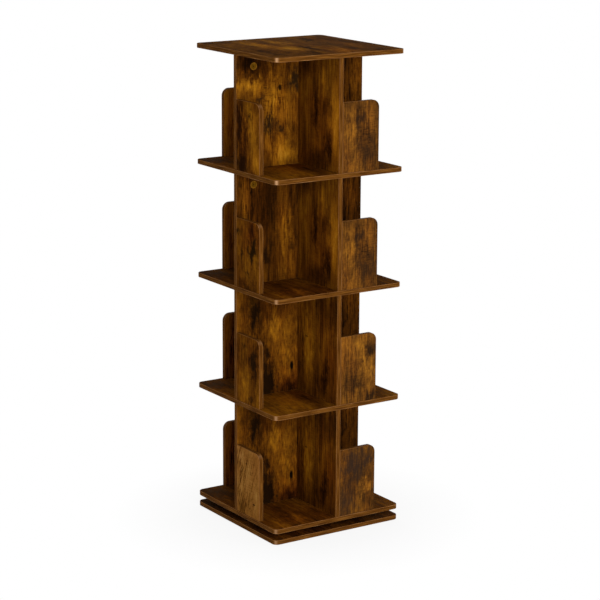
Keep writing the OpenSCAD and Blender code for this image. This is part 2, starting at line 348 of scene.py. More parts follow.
RUSTIC = (
    (0.0, "#120802"), (0.2, "#2b1503"), (0.38, "#4a2806"), (0.52, "#643a0a"), (0.7, "#86540f"),
    (0.85, "#9e6611"), (1.0, "#b47c1e"),
)
SMOKED = (
    (0.0, "#140b05"), (0.2, "#2c1a0a"), (0.38, "#4a2d10"), (0.52, "#653e14"), (0.7, "#86561a"),
    (0.85, "#a06a1e"), (1.0, "#b67f2a"),
)
TAN = ((0.0, "#3a2008"), (0.3, "#674013"), (0.6, "#926229"), (1.0, "#ba8b49"))


@dataclass(frozen=True)
class Rings:
    """Arched growth rings of a flat-sawn plank: their centre, and their pitch across and along the grain."""

    u: float
    v: float
    across: float
    along: float
    strength: float
    waver: float = 3.0
    octaves: float = 2.0
    # With this scale the wave texture draws one ring per unit.
    unit: float = 0.314


@dataclass(frozen=True)
class Layer:
    """One noise of the print: its size across and along the grain in mm, octaves, falloff and share."""

    across: float
    along: float
    octaves: float
    rough: float
    share: float = 0.0


class Cut(Enum):
    """How the printed plank was sawn: the layers of its zones, mottle, streaks and pores.

    Real pores are finer than 1 mm; here they are as coarse as they need to be to show in the render.
    """

    CROWN = (
        Layer(40, 120, 4, 0.6, 0.65), Layer(11, 24, 6, 0.72, 0.5), Layer(3.2, 60, 3, 0.6, 0.2),
        Layer(1.7, 20, 2, 0.6, 0.12),
    )
    RIFT = (
        Layer(22, 260, 4, 0.55, 0.7), Layer(9, 50, 6, 0.7, 0.4), Layer(3.2, 160, 3, 0.6, 0.22),
        Layer(1.7, 40, 2, 0.6, 0.12),
    )
    SAWN = (
        Layer(40, 120, 4, 0.6, 0.5), Layer(11, 24, 6, 0.72, 0.45), Layer(5, 130, 3, 0.65, 0.36),
        Layer(3, 36, 2, 0.6, 0.26),
    )


# Layers that only steer others: the wander of a mark's outline, the level lines that are veins,
# the saw scratches, and where the stain is redder.
WANDER = Layer(26, 40, 5, 0.68)
VEINS = Layer(8, 120, 3, 0.55)
SCRATCHES = Layer(20, 3.4, 2, 0.6)
STAIN = Layer(50, 150, 3, 0.6)


@dataclass(frozen=True)
class Sheet:
    """A stretch of decor paper: its ground tone, where its grain is cut from, and its marks by tint.

    The slant is how many degrees the veins lean away from the grain.
    """

    name: str
    tone: float
    window: Pair
    marks: dict[Tint, tuple[Row, ...]]
    palette: Stops = RUSTIC
    rings: Rings | None = None
    cut: Cut = Cut.CROWN
    # The colour of the burnt patches, also used for the painted shade and sheen laid with them.
    soot: str = "#130a04"
    slant: float = 0.0

    def marks_of(self, tint: Tint) -> list[Mark]:
        """The marks of one tint."""
        return [Mark(*row) for row in self.marks.get(tint, ())]


@dataclass
class DecorPrint:
    """One sheet of decor paper while its nodes go into a material's tree."""

    tree: Tree
    sheet: Sheet

    def noise(self, vector: Socket, layer: Layer) -> Socket:
        """Adds the noise of a layer.

        Args:
            vector: the paper's coordinates.
            layer: the layer's sizes.

        Returns:
            The noise as a number; its node also gives it as a colour.
        """
        scale = per_size(layer.across, layer.along)
        start = (self.sheet.window[0] * scale[0], self.sheet.window[1] * scale[1], 0.0)
        place = add_node(self.tree, "Mapping", {"Vector": vector, "Location": start, "Scale": scale})
        values = {"Vector": place, "Scale": 1.0, "Detail": layer.octaves, "Roughness": layer.rough}
        return add_node(self.tree, "TexNoise", values, out="Fac", noise_dimensions="2D")

    def spot(self, vector: Socket, mark: Mark) -> Socket:
        """Adds the soft oval of a mark.

        Args:
            vector: the paper's coordinates.
            mark: the mark.

        Returns:
            1 in the mark's middle and 0 from its edge on.
        """
        values = {"Vector": vector} | centred(mark.u, mark.v, mark.half_u, mark.half_v)
        place = add_node(self.tree, "Mapping", values, vector_type="TEXTURE")
        return add_node(self.tree, "TexGradient", {"Vector": place}, out="Fac", gradient_type="SPHERICAL")

    def total(self, start: float | Socket, terms: Iterable[tuple[Any, float | Socket]]) -> Any:
        """Adds up sockets, each times its share.

        Args:
            start: the number or socket to start from.
            terms: the sockets and their shares.

        Returns:
            The number or socket with the sum.
        """
        for source, share in terms:
            start = add_node(self.tree, "Math", {0: source, 1: share, 2: start}, operation="MULTIPLY_ADD")
        return start

    def marked(self, vector: Socket, tint: Tint, start: float = 0.0) -> Any:
        """Adds up the spots of one tint, on top of what there is without any."""
        marks = self.sheet.marks_of(tint)
        return self.total(start, [(self.spot(vector, mark), mark.strength) for mark in marks])

    def shift(self, vector: Socket, noise: Socket, reach: Pair) -> Socket:
        """Moves the paper's coordinates to and fro with a noise.

        Args:
            vector: the coordinates.
            noise: the noise.
            reach: millimetres across and along the grain for the noise's whole range.

        Returns:
            The moved coordinates.
        """
        across, along = [size * MM for size in reach]
        values = {0: noise.node.outputs["Color"], 1: (across, along, 0.0), 2: vector}
        pushed = add_node(self.tree, "VectorMath", values, operation="MULTIPLY_ADD")
        values = {0: pushed, 1: (-across / 2, -along / 2, 0.0)}
        return add_node(self.tree, "VectorMath", values, operation="ADD")

    def score(self, tone: Socket, value: Socket, span: Pair, depth: float | Socket) -> Socket:
        """Draws dark lines into the tone.

        Args:
            tone: the tone so far.
            value: what the lines are read from.
            span: where in that value a line starts and where it is full.
            depth: how dark the lines are.

        Returns:
            The scored tone.
        """
        values = {"Value": value, "From Min": span[0], "From Max": span[1]}
        line = add_node(self.tree, "MapRange", values, interpolation_type="SMOOTHSTEP")
        line = add_node(self.tree, "Math", {0: line, 1: depth}, operation="MULTIPLY")
        return add_node(self.tree, "Math", {0: tone, 1: line}, operation="SUBTRACT")

    def ringed(self, tone: Socket, vector: Socket, rings: Rings) -> Socket:
        """Draws growth rings into the tone.

        Args:
            tone: the tone so far.
            vector: the paper's coordinates.
            rings: where and how close the rings are.

        Returns:
            The ringed tone.
        """
        values = {"Vector": vector} | centred(rings.u, rings.v, rings.across, rings.along)
        place = add_node(self.tree, "Mapping", values, vector_type="TEXTURE")
        arches = add_node(
            self.tree, "TexWave",
            {"Vector": place, "Scale": rings.unit, "Distortion": rings.waver, "Detail": rings.octaves},
            out="Fac", wave_type="RINGS", rings_direction="Z", wave_profile="SAW",
        )
        return self.total(tone, [(arches, -rings.strength)])

    def stain(self, colour: Socket, value: Socket, span: Pair, cover: float, hex_code: str) -> Socket:
        """Lays a soft-edged patch of one more colour over the print.

        Args:
            colour: the print so far.
            value: what the patch is read from.
            span: where in that value the patch starts and where it is full.
            cover: how much it covers there.
            hex_code: the new colour.

        Returns:
            The stained print.
        """
        values = {"Value": value, "From Min": span[0], "From Max": span[1], "To Max": cover}
        depth = add_node(self.tree, "MapRange", values, interpolation_type="SMOOTHSTEP")
        mix = {0: depth, 6: colour, 7: linear(hex_code)}
        return add_node(self.tree, "Mix", mix, out=2, data_type="RGBA")


@dataclass(frozen=True, kw_only=True)
class DecorLaminate(Finish):
    """Melamine-faced particleboard, pressed with a printed decor paper of old, smoked planks.

    The eye sees honey and umber zones along the grain, burnt patches with broken edges, fine
    fibres and veins, saw scratches across them, a few knots, and a dry, nearly matt face. In places the
    same patches lay painted shade and a painted grey sheen.
    """

    sheet: Sheet
    gloss: float = 0.007
    rough: Pair = (0.9, 0.8)
    bump: float = 0.12
    relief: float = 0.0003
    # How many mm across and along the grain patches fray with the streaks, and marks' outlines wander.
    fray: Pair = (2, 30)
    wander: Pair = (50, 80)
    # Honey shows through most where the mottle is pale: a ground share, and a share of the mottle.
    honey_ground: float = 0.1
    honey_mottle: float = 1.8
    # How much veins and scratches darken the print where no mark asks for more, and where they lie in
    # their noises.
    veins: float = 0.12
    vein_span: Pair = (0.05, 0.0)
    scratches: float = 0.04
    scratch_span: Pair = (0.5, 0.68)
    # The redder stain that lies in drifts.
    red: str = "#ffdbe2"
    redness: float = 0.25
    red_span: Pair = (0.4, 0.64)
    # Burnt patches, with the painted shade and sheen laid the same way, break up where mottle, streaks and
    # pores are pale.
    patch_loss: Point = (-1.4, -0.3, -0.3)
    patch_span: Pair = (0.05, 1.15)
    patch_cover: float = 0.95
    knot: str = "#0e0803"
    knot_span: Pair = (0.1, 0.6)

    def paint(self, tree: Tree) -> tuple[Socket, Socket, Socket]:
        """Prints the paper: grain first, then the sheet's own marks, then burnt patches, painted shade,
        painted sheen and knots.

        Args:
            tree: the material's node tree.

        Returns:
            The colour, the streaks and the pores.
        """
        sheet = self.sheet
        ink = DecorPrint(tree, sheet)
        layers = sheet.cut.value
        paper = add_node(tree, "UVMap", uv_map=PAPER)
        streaks, pores = [ink.noise(paper, layer) for layer in layers[2:]]
        frayed = ink.shift(paper, streaks, self.fray)
        zones, mottle = [ink.noise(frayed, layer) for layer in layers[:2]]
        moved = ink.shift(frayed, ink.noise(paper, WANDER), self.wander)
        # Every noise lies evenly round one half, so the ground tone stays in the middle.
        shares = [layer.share for layer in layers]
        tone = ink.total(sheet.tone - sum(shares) / 2, zip((zones, mottle, streaks, pores), shares))
        pale = ink.total(self.honey_ground, [(mottle, self.honey_mottle)])
        tone = ink.total(tone, [(ink.marked(moved, Tint.HONEY), pale)])
        # Veins are the level lines of a long, smooth noise: thin, dark and broken along the grain.
        lean = (0.0, 0.0, math.radians(sheet.slant))
        level = ink.noise(add_node(tree, "Mapping", {"Vector": paper, "Rotation": lean}), VEINS)
        level = add_node(tree, "Math", {0: level, 1: -0.5}, operation="ADD")
        level = add_node(tree, "Math", {0: level}, operation="ABSOLUTE")
        tone = ink.score(tone, level, self.vein_span, ink.marked(moved, Tint.VEIN, self.veins))
        sawn = ink.noise(paper, SCRATCHES)
        tone = ink.score(tone, sawn, self.scratch_span, ink.marked(moved, Tint.HATCH, self.scratches))
        tone = ink.total(tone, [(ink.marked(moved, Tint.UMBER), -1.0)])
        if sheet.rings:
            tone = ink.ringed(tone, frayed, sheet.rings)
        colour = add_node(tree, "ValToRGB", {"Fac": tone}, stops=sheet.palette)
        drift = {"Value": ink.noise(paper, STAIN), "To Max": self.redness}
        drift |= {"From Min": self.red_span[0], "From Max": self.red_span[1]}
        red = add_node(tree, "MapRange", drift, interpolation_type="SMOOTHSTEP")
        red = ink.total(red, [(ink.marked(moved, Tint.RUST), 1.0)])
        mix = {0: red, 6: colour, 7: linear(self.red)}
        colour = add_node(tree, "Mix", mix, out=2, data_type="RGBA", blend_type="MULTIPLY")
        # Burnt patches, which in places are painted shade and a painted grey sheen.
        if sheet.marks_of(Tint.SOOT):
            soot = ink.marked(moved, Tint.SOOT, 1.0)
            soot = ink.total(soot, zip((mottle, streaks, pores), self.patch_loss))
            colour = ink.stain(colour, soot, self.patch_span, self.patch_cover, sheet.soot)
        for mark in sheet.marks_of(Tint.KNOT):
            colour = ink.stain(colour, ink.spot(paper, mark), self.knot_span, mark.strength, self.knot)
        return colour, streaks, pores


@dataclass(frozen=True)
class EdgeBand(Finish):
    """ABS edge band, extruded and glued round the board edges.

    The eye sees a plain warm brown with fine lines along the edge, a painted highlight half way round
    each bend, and along the arris a paler trim line that also carries a painted highlight.
    """

    gloss: float = 0.004
    rough: Pair = (0.2, 0.3)
    span: Pair = (0.0, 1.0)
    bump: float = 0.1
    relief: float = 0.0002
    # The colour of the painted highlight half way round a bend.
    highlight_colour: str = "#c2966c"
    stops: Stops = ((0.25, "#3a1f08"), (0.5, "#5e3811"), (0.75, "#805321"))
    # The lines' size across and along the edge, in mm.
    size: Pair = (2.2, 60)

    def paint(self, tree: Tree) -> tuple[Socket, Socket, Socket]:
        """Draws the fine lines of the band along its length.

        Args:
            tree: the material's node tree.

        Returns:
            The colour, and the lines twice.
        """
        paper = add_node(tree, "UVMap", uv_map=PAPER)
        place = add_node(tree, "Mapping", {"Vector": paper, "Scale": per_size(*self.size)})
        values = {"Vector": place, "Scale": 1.0, "Detail": 3.0, "Roughness": 0.6}
        lines = add_node(tree, "TexNoise", values, out="Fac", noise_dimensions="2D")
        ramp = add_node(tree, "ValToRGB", {"Fac": lines}, stops=self.stops)
        # Painted highlight: the band is mixed towards the pale colour where the bend attribute is high.
        bend = add_node(tree, "Attribute", out="Fac", attribute_name=PAINTED_HIGHLIGHT_ATTRIBUTE)
        mix = {0: bend, 6: ramp, 7: linear(self.highlight_colour)}
        return add_node(tree, "Mix", mix, out=2, data_type="RGBA"), lines, lines


@dataclass(frozen=True)
class Grainy(Finish):
    """A finish of two tones that a noise of one real size mixes, with its own roughness and relief."""

    dark: str = "#202020"
    pale: str = "#303030"
    size: Point = (2, 2, 2)

    def paint(self, tree: Tree) -> tuple[Socket, Socket, Socket]:
        """Mixes the tones over the piece's own Object coordinates.

        Args:
            tree: the material's node tree.

        Returns:
            The colour, and the noise twice.
        """
        where = add_node(tree, "TexCoord", out="Object")
        place = add_node(tree, "Mapping", {"Vector": where, "Scale": per_size(*self.size)})
        values = {"Vector": place, "Scale": 1.0, "Detail": 4.0, "Roughness": 0.6}
        grit = add_node(tree, "TexNoise", values, out="Fac")
        stops = tuple(zip(self.span, (self.dark, self.pale)))
        return add_node(tree, "ValToRGB", {"Fac": grit}, stops=stops), grit, grit


# Pressed wood chips show as speckles of about 2 mm in the countersinks.
CHIPBOARD = Grainy("raw chipboard", 0.2, dark="#7a5a36", pale="#c09a68", rough=(0.8, 0.95))
# Baked powder leaves an orange peel of about 1.5 mm on the swivel plates, with a soft sheen.
POWDER_COAT = Grainy(
    "black powder coat on steel", 0.4, dark="#161617", pale="#232324", size=(1.5, 1.5, 1.5),
    rough=(0.42, 0.55),
)
# Bright zinc has cloudy spangles of a few millimetres on screws, nuts and cams.
ZINC = Grainy(
    "bright zinc plate on steel", metallic=1.0, dark="#a7a9ac", pale="#cdd0d2", size=(3, 3, 3),
    rough=(0.25, 0.4), relief=0.00003,
)
# Ground and polished balls show hardly more than faint clouds in the mirror.
BEARING_STEEL = Grainy(
    "polished bearing steel", metallic=1.0, dark="#c3c5c7", pale="#d9dadb", size=(4, 4, 4),
    rough=(0.08, 0.14), relief=0.00001,
)
# Moulded nylon is milky and slightly mottled.
NYLON = Grainy(
    "natural moulded nylon", 0.4, dark="#d3cdbd", pale="#e6e1d5", size=(5, 5, 5), rough=(0.45, 0.6)
)
# Turned birch shows pale lines of about 1 mm along the dowels, which mostly stand upright.
BIRCH = Grainy("turned birch", 0.3, dark="#c4a071", pale="#dfc396", size=(1, 1, 12), rough=(0.55, 0.7))
# Moulded caps are printed in a honey or an umber tone of the decor, with grain lines of about 2 mm.
HONEY_CAP = Grainy("moulded cap, honey", 0.004, dark="#5c3a0c", pale="#8f6018", size=(2, 2, 14))
# A darker copy for the dish of the upper caps: painted shade in the recess.
PAINTED_SHADE_CAP = replace(HONEY_CAP, name="moulded cap, dish", dark="#4a2e06", pale="#74500c")
UMBER_CAP = replace(HONEY_CAP, name="moulded cap, umber", dark="#2a1704", pale="#472806")
# Closed-cell foam rubber is dull, with pores of about half a millimetre.
FOAM = Grainy(
    "black foam rubber", 0.2, dark="#0e0e0e", pale="#1d1c1b", size=(0.5, 0.5, 0.5), rough=(0.8, 0.95)
)
BAND = EdgeBand("extruded ABS edge band")
# The arris is painted paler: the line the cutter's trim leaves, with a painted highlight along it.
TRIMMED_ARRIS_HIGHLIGHT = replace(
    BAND, name="trimmed arris of ABS edge band",
    stops=((0.25, "#603c1c"), (0.5, "#8a5c32"), (0.75, "#a87c50")),
)

# Decor papers; each mark is given by its place, its half sizes and its strength

HONEY, UMBER, RUST, VEIN, HATCH, SOOT, KNOT = Tint

# The far leg of each through divider is darker and has close, straight veins.
FAR_SHADE = (320, 190, 110, 220, 0.15)
FAR_VEINS = (320, 170, 100, 220, 0.22)

LEFT_4 = Sheet("knotty honey", 0.53, (0.3, 0.2), {
    HONEY: (
        (40, 210, 46, 24, 0.4), (105, 240, 11, 36, 0.3), (120, 172, 40, 72, 0.4), (138, 34, 46, 64, 0.48),
    ),
    HATCH: ((110, 185, 60, 60, 0.14),),
    VEIN: ((120, 150, 80, 150, 0.16), FAR_VEINS),
    SOOT: ((178, 220, 32, 50, 1.5), (100, 108, 30, 32, 1.3), (132, 98, 17, 28, 1.1), (70, 172, 15, 19, 1.1)),
    KNOT: ((131, 201, 7, 12, 0.95), (87, 203, 9, 3, 0.6)),
    UMBER: ((34, 264, 100, 44, 0.42), (330, 230, 90, 90, 0.14), FAR_SHADE),
}, soot="#22160a")
LEFT_3 = Sheet("dark brown", 0.41, (1.7, 0.9), {
    HONEY: (
        (155, 125, 18, 115, 0.32), (126, 150, 14, 70, 0.12), (165, 26, 32, 54, 0.2),
        (22, 228, 34, 76, 0.16), (330, 230, 90, 90, 0.14),
    ),
    SOOT: ((92, 72, 26, 64, 1.1), (181, 92, 16, 28, 0.8)),
    UMBER: ((84, 185, 44, 105, 0.2), FAR_SHADE),
    VEIN: ((24, 230, 34, 84, 0.5), FAR_VEINS),
}, cut=Cut.RIFT)
# The low patches at u 98 and u 90 are partly print and partly painted shade behind the left stop; the patch
# at v 256, under the shelf above, is painted shade.
LEFT_LOW = Sheet("golden with a knot", 0.46, (3.1, 0.4), {
    HONEY: ((156, 122, 58, 125, 0.27), (112, 178, 36, 42, 0.2)),
    SOOT: ((55, 222, 28, 78, 1.35), (98, 14, 30, 100, 1.9), (90, 108, 14, 50, 0.9), (150, 256, 60, 22, 0.5)),
    UMBER: ((165, 8, 62, 38, 0.34), FAR_SHADE),
    VEIN: (FAR_VEINS,),
    RUST: ((160, 20, 72, 54, 0.7),),
    KNOT: ((170, 68, 8, 18, 1.0),),
})
FRONT_HIGH = Sheet("brown with a golden edge", 0.56, (4.4, 1.3), {
    HONEY: ((172, 130, 28, 105, 0.38), (118, 222, 20, 42, 0.22)),
    UMBER: (
        (85, 145, 15, 74, 0.4), (132, 170, 28, 42, 0.24), (138, 60, 19, 64, 0.5), (85, 18, 54, 50, 0.28),
        (20, 258, 62, 52, 0.24),
    ),
    RUST: ((110, 90, 80, 150, 0.5),),
}, cut=Cut.RIFT)
FRONT_LOW = Sheet("olive brown", 0.615, (5.8, 0.1), {
    HONEY: ((54, 120, 34, 115, 0.42),),
    UMBER: ((132, 62, 19, 70, 0.46), (110, 36, 32, 60, 0.26), (150, 240, 72, 64, 0.26)),
    SOOT: ((108, 128, 13, 17, 0.8),),
    KNOT: ((45, 155, 10, 4, 0.6),),
    VEIN: ((25, 160, 32, 125, 0.4),),
    RUST: ((150, 120, 70, 150, 0.6),),
}, rings=Rings(48, 150, 9, 60, 0.1), cut=Cut.RIFT)
STOP_A = Sheet("half burnt", 0.53, (7.0, 1.1), {
    SOOT: ((16, 110, 40, 150, 1.15), (34, 14, 48, 40, 1.05), (66, 150, 11, 13, 1.0)),
    HONEY: ((80, 118, 42, 64, 0.32), (92, 34, 28, 48, 0.32)),
    RUST: ((18, 100, 42, 125, 0.8),),
    VEIN: ((20, 100, 34, 125, 0.4),),
}, cut=Cut.SAWN, soot="#1e0d03")
STOP_B = Sheet("spotted brown", 0.545, (8.2, 0.6), {
    SOOT: ((78, 106, 32, 46, 1.6), (10, 146, 14, 14, 1.3), (30, 90, 15, 13, 1.1), (48, 40, 15, 17, 1.0)),
    UMBER: ((74, 160, 30, 32, 0.32), (55, 4, 66, 26, 0.26)),
    RUST: ((74, 150, 60, 60, 0.7),),
}, cut=Cut.SAWN, soot="#1a1004")
STOP_C = Sheet("brown with a burn", 0.535, (9.5, 0.3), {
    SOOT: ((82, 115, 25, 54, 1.6), (38, 157, 17, 11, 0.9), (72, 16, 15, 28, 0.9)),
    HONEY: ((35, 50, 46, 64, 0.16),),
    UMBER: ((96, 165, 30, 20, 0.2),),
    RUST: ((84, 120, 34, 56, 0.6),),
}, cut=Cut.SAWN, soot="#1c1005")
STOP_TAN = Sheet("weathered tan", 0.615, (10.9, 0.8), {
    UMBER: ((60, 50, 40, 12, 0.2), (12, 130, 20, 30, 0.18), (30, 24, 44, 28, 0.24), (92, 110, 26, 60, 0.14)),
    VEIN: ((26, 100, 46, 120, 0.8), (80, 90, 50, 120, 0.2)),
    HONEY: ((26, 150, 30, 44, 0.2),),
    HATCH: ((60, 90, 70, 100, 0.16),),
    KNOT: ((84, 38, 8, 4, 0.8), (62, 22, 5, 3, 0.5)),
}, TAN, slant=20.0)
STOP_D = Sheet("streaked honey", 0.455, (12.6, 1.1), {
    HATCH: ((78, 90, 44, 100, 0.14),),
    SOOT: ((57, 130, 30, 28, 0.95), (76, 50, 50, 66, 0.9), (8, 36, 15, 50, 0.7)),
    HONEY: ((16, 112, 24, 70, 0.3), (34, 100, 12, 80, 0.2), (88, 142, 26, 32, 0.06), (30, 10, 22, 28, 0.24)),
}, SMOKED, cut=Cut.SAWN, soot="#2b1c11")
STOP_E = Sheet("golden", 0.52, (13.3, 0.7), {
    SOOT: ((93, 138, 20, 38, 1.15), (42, 48, 36, 46, 1.05), (92, 6, 38, 32, 1.1)),
    HONEY: ((92, 80, 24, 52, 0.3), (72, 120, 13, 72, 0.26), (38, 150, 52, 42, 0.2)),
    HATCH: ((45, 60, 50, 70, 0.1),),
}, SMOKED, cut=Cut.SAWN, soot="#26180d")
STOP_F = Sheet("grey brown", 0.465, (14.6, 0.2), {
    SOOT: ((45, 130, 60, 70, 1.1), (20, 36, 60, 66, 0.9), (96, 150, 28, 42, 0.8)),
    HONEY: ((88, 68, 30, 28, 0.36),),
    HATCH: ((60, 110, 60, 80, 0.08),),
}, SMOKED, cut=Cut.SAWN, soot="#33241a")
STOP_DARK = Sheet("mahogany brown", 0.58, (15.8, 1.0), {
    HONEY: ((40, 100, 44, 110, 0.12),),
    SOOT: ((20, 60, 24, 60, 0.6),),
    VEIN: ((55, 90, 70, 120, 0.5),),
    RUST: ((55, 90, 150, 200, 0.9),),
}, cut=Cut.RIFT)
# Lighter copies for the inner faces of the upper rear stops: painted light on faces that the key light
# hardly reaches.
STOP_PAINTED_LIGHTER = replace(STOP_DARK, name="rusty brown", tone=0.86, window=(16.4, 0.3))
STOP_PAINTED_LIGHTEST = replace(STOP_DARK, name="red brown", tone=1.0, window=(16.4, 0.9))
TOP = Sheet("top, brown with honey drifts", 0.51, (17.1, 0.5), {
    HONEY: (
        (112, 270, 36, 100, 0.5), (142, 150, 34, 70, 0.46), (185, 285, 26, 90, 0.36),
        (240, 50, 40, 90, 0.34),
    ),
    SOOT: (
        (186, 138, 22, 60, 1.3), (148, 60, 22, 50, 1.0), (285, 290, 40, 70, 0.9), (42, 352, 60, 26, 1.0),
        (60, 120, 36, 80, 0.7),
    ),
    UMBER: ((335, 190, 80, 230, 0.08),),
    RUST: ((235, 60, 60, 90, 0.4),),
}, SMOKED)
# The two ends of a shelf that stick out are greyer: a painted sheen, the white surround mirrored at a
# grazing angle.
PAINTED_SHEEN_ENDS = ((350, 60, 90, 150, 0.6), (30, 350, 110, 110, 0.7))
# The two shelf papers lay that painted sheen in a grey-brown.
FLOOR_PALE = Sheet("shelf, honey brown", 0.57, (18.7, 0.9), {
    HONEY: ((80, 80, 70, 100, 0.22),),
    UMBER: ((170, 120, 40, 90, 0.24), (310, 90, 70, 120, 0.16), (30, 330, 80, 90, 0.22)),
    RUST: ((150, 140, 90, 120, 0.5),),
    SOOT: PAINTED_SHEEN_ENDS,
}, soot="#42301f")
FLOOR_DEEP = Sheet("shelf, deep brown", 0.47, (20.3, 0.4), {
    HONEY: ((100, 40, 30, 70, 0.2), (45, 30, 30, 50, 0.2)),
    RUST: ((100, 60, 120, 120, 0.7),),
    UMBER: ((290, 80, 60, 120, 0.06), (30, 330, 80, 90, 0.16)),
    SOOT: PAINTED_SHEEN_ENDS,
}, soot="#42301f")
# The base's top shows only in the narrow gap under the bottom shelf; this darker copy of the shelf paper is
# painted shade there.
FLOOR_PAINTED_SHADE = replace(FLOOR_DEEP, name="base, dusky brown", tone=0.36)


# Boards


@dataclass(frozen=True)
class Bore:
    """A round hole in a board, lathed from radius and height pairs in millimetres round an upright axis."""

    x: float
    y: float
    profile: tuple[Pair, ...]


@dataclass
class Board:
    """One decor board that stands for a CAD node, with soft arrises and an edge band all round.

    Its skins are the materials in the order of Skin, and its origin is where its paper starts.
    """

    node: str
    body: str
    thin: Axis
    grain: Axis
    skins: tuple[Material, ...]
    origin: Point
    flip: bool = False
    corners: tuple[Vector, ...] = ()
    corner_r: float = 15.0
    corner_steps: int = 14
    arris: float = 1.0
    arris_steps: int = 3
    bores: tuple[Bore, ...] = ()
    bore_steps: int = 24
    # Upright faces further in than this are walls of bores.
    rim_w: float = 20.0
    # How strong the painted highlight of the band is half way round a bend, and how quickly it fades to both
    # sides.
    painted_highlight: float = 0.9
    highlight_fall: float = 8.0

    def shape(self) -> BMesh:
        """Cuts the outline from the node's box and softens its arrises.

        Returns:
            The board's bmesh.
        """
        lo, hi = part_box(self.node)
        thin = self.thin.value
        bm = bmesh.new()
        bmesh.ops.create_cube(bm, size=1.0)
        bmesh.ops.scale(bm, vec=hi - lo, verts=bm.verts)
        bmesh.ops.translate(bm, vec=(lo + hi) / 2, verts=bm.verts)
        posts = []
        for edge in bm.edges:
            way = (edge.verts[1].co - edge.verts[0].co).normalized()
            middle = (edge.verts[0].co + edge.verts[1].co) / 2
            for corner in self.corners:
                gap = middle - corner
                gap[thin] = 0.0
                if abs(way[thin]) > ALONG and gap.length < MM:
                    posts.append(edge)
        if posts:
            bmesh.ops.bevel(
                bm, geom=posts, offset=self.corner_r * MM, offset_type="OFFSET", segments=self.corner_steps,
                profile=0.5, affect="EDGES", material=-1,
            )
        bm.normal_update()
        rim = [e for e in bm.edges if sum(abs(f.normal[thin]) > ALONG for f in e.link_faces) == 1]
        bmesh.ops.bevel(
            bm, geom=rim, offset=self.arris * MM, offset_type="OFFSET", segments=self.arris_steps,
            profile=0.5, affect="EDGES", material=-1,
        )
        return bm

    def cut(self, piece: Piece) -> None:
        """Cuts the bores for fasteners that show.

        Args:
            piece: the board's object.
        """
        bm = bmesh.new()
        for bore in self.bores:
            lathe(bm, bore.profile, self.bore_steps, Matrix.Translation((bore.x * MM, bore.y * MM, 0.0)))
        cutter = finish_mesh(bm, self.node + "_cutter")
        modifier = piece.modifiers.new("bores", "BOOLEAN")
        modifier.operation = "DIFFERENCE"
        modifier.solver = "EXACT"
        modifier.object = cutter
        graph = bpy.context.evaluated_depsgraph_get()
        solid = bpy.data.meshes.new_from_object(piece.evaluated_get(graph))
        solid.set_sharp_from_angle(angle=math.radians(SMOOTH_BELOW))
        piece.modifiers.clear()
        spent = (piece.data, cutter.data)
        piece.data = solid
        solid.name = piece.name
        bpy.data.objects.remove(cutter)
        for mesh in spent:
            bpy.data.meshes.remove(mesh)

    def dress(self, piece: Piece) -> None:
        """Lays the decor paper on the faces, the band on the edges, and leaves bores raw.

        Each point of the edge also gets the strength of a painted highlight: none where the band is
        straight, and most half way round a bend.

        Args:
            piece: the board's object.
        """
        for material in self.skins:
            piece.data.materials.append(material)
        lo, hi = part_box(self.node)
        thin, grain = self.thin.value, self.grain.value
        wide = 3 - thin - grain
        bm = bmesh.new()
        bm.from_mesh(piece.data)
        layer = bm.loops.layers.uv.new(PAPER)
        for face in bm.faces:
            facing = max(range(3), key=lambda axis: abs(face.normal[axis]))
            middle = face.calc_center_median()
            depth = min(min(middle[axis] - lo[axis], hi[axis] - middle[axis]) for axis in (wide, grain))
            across, along = wide, grain
            face.material_index = Skin.FAR if face.normal[thin] > 0 else Skin.FACE
            if abs(face.normal[thin]) < ALONG:
                inside = self.bores and depth > self.rim_w * MM
                slanted = abs(face.normal[thin]) > LEANING
                face.material_index = Skin.CORE if inside else Skin.ARRIS if slanted else Skin.EDGE
                across = thin
                along = wide if facing in (thin, grain) else grain
            for loop in face.loops:
                spot = loop.vert.co - Vector(self.origin)
                u = -spot[across] if self.flip and across == wide else spot[across]
                loop[layer].uv = (u, spot[along])
        # Painted highlight: the band is painted paler half way round each bend.
        highlight_layer = bm.verts.layers.float.new(PAINTED_HIGHLIGHT_ATTRIBUTE)
        for vert in bm.verts:
            rims = [face.normal for face in vert.link_faces if face.material_index == Skin.EDGE]
            turned = [2 * abs(way[wide] * way[grain]) for way in rims]
            if turned:
                vert[highlight_layer] = self.painted_highlight * (sum(turned) / len(turned)) ** self.highlight_fall
        bm.to_mesh(piece.data)
        bm.free()

    def build(self) -> Piece:
        """Makes the board and puts it in its node's place.

        Returns:
            The finished piece.
        """
        piece = finish_mesh(self.shape(), self.node + "_board")
        if self.bores:
            self.cut(piece)
        self.dress(piece)
        return ride_for(piece, self.node, self.body)


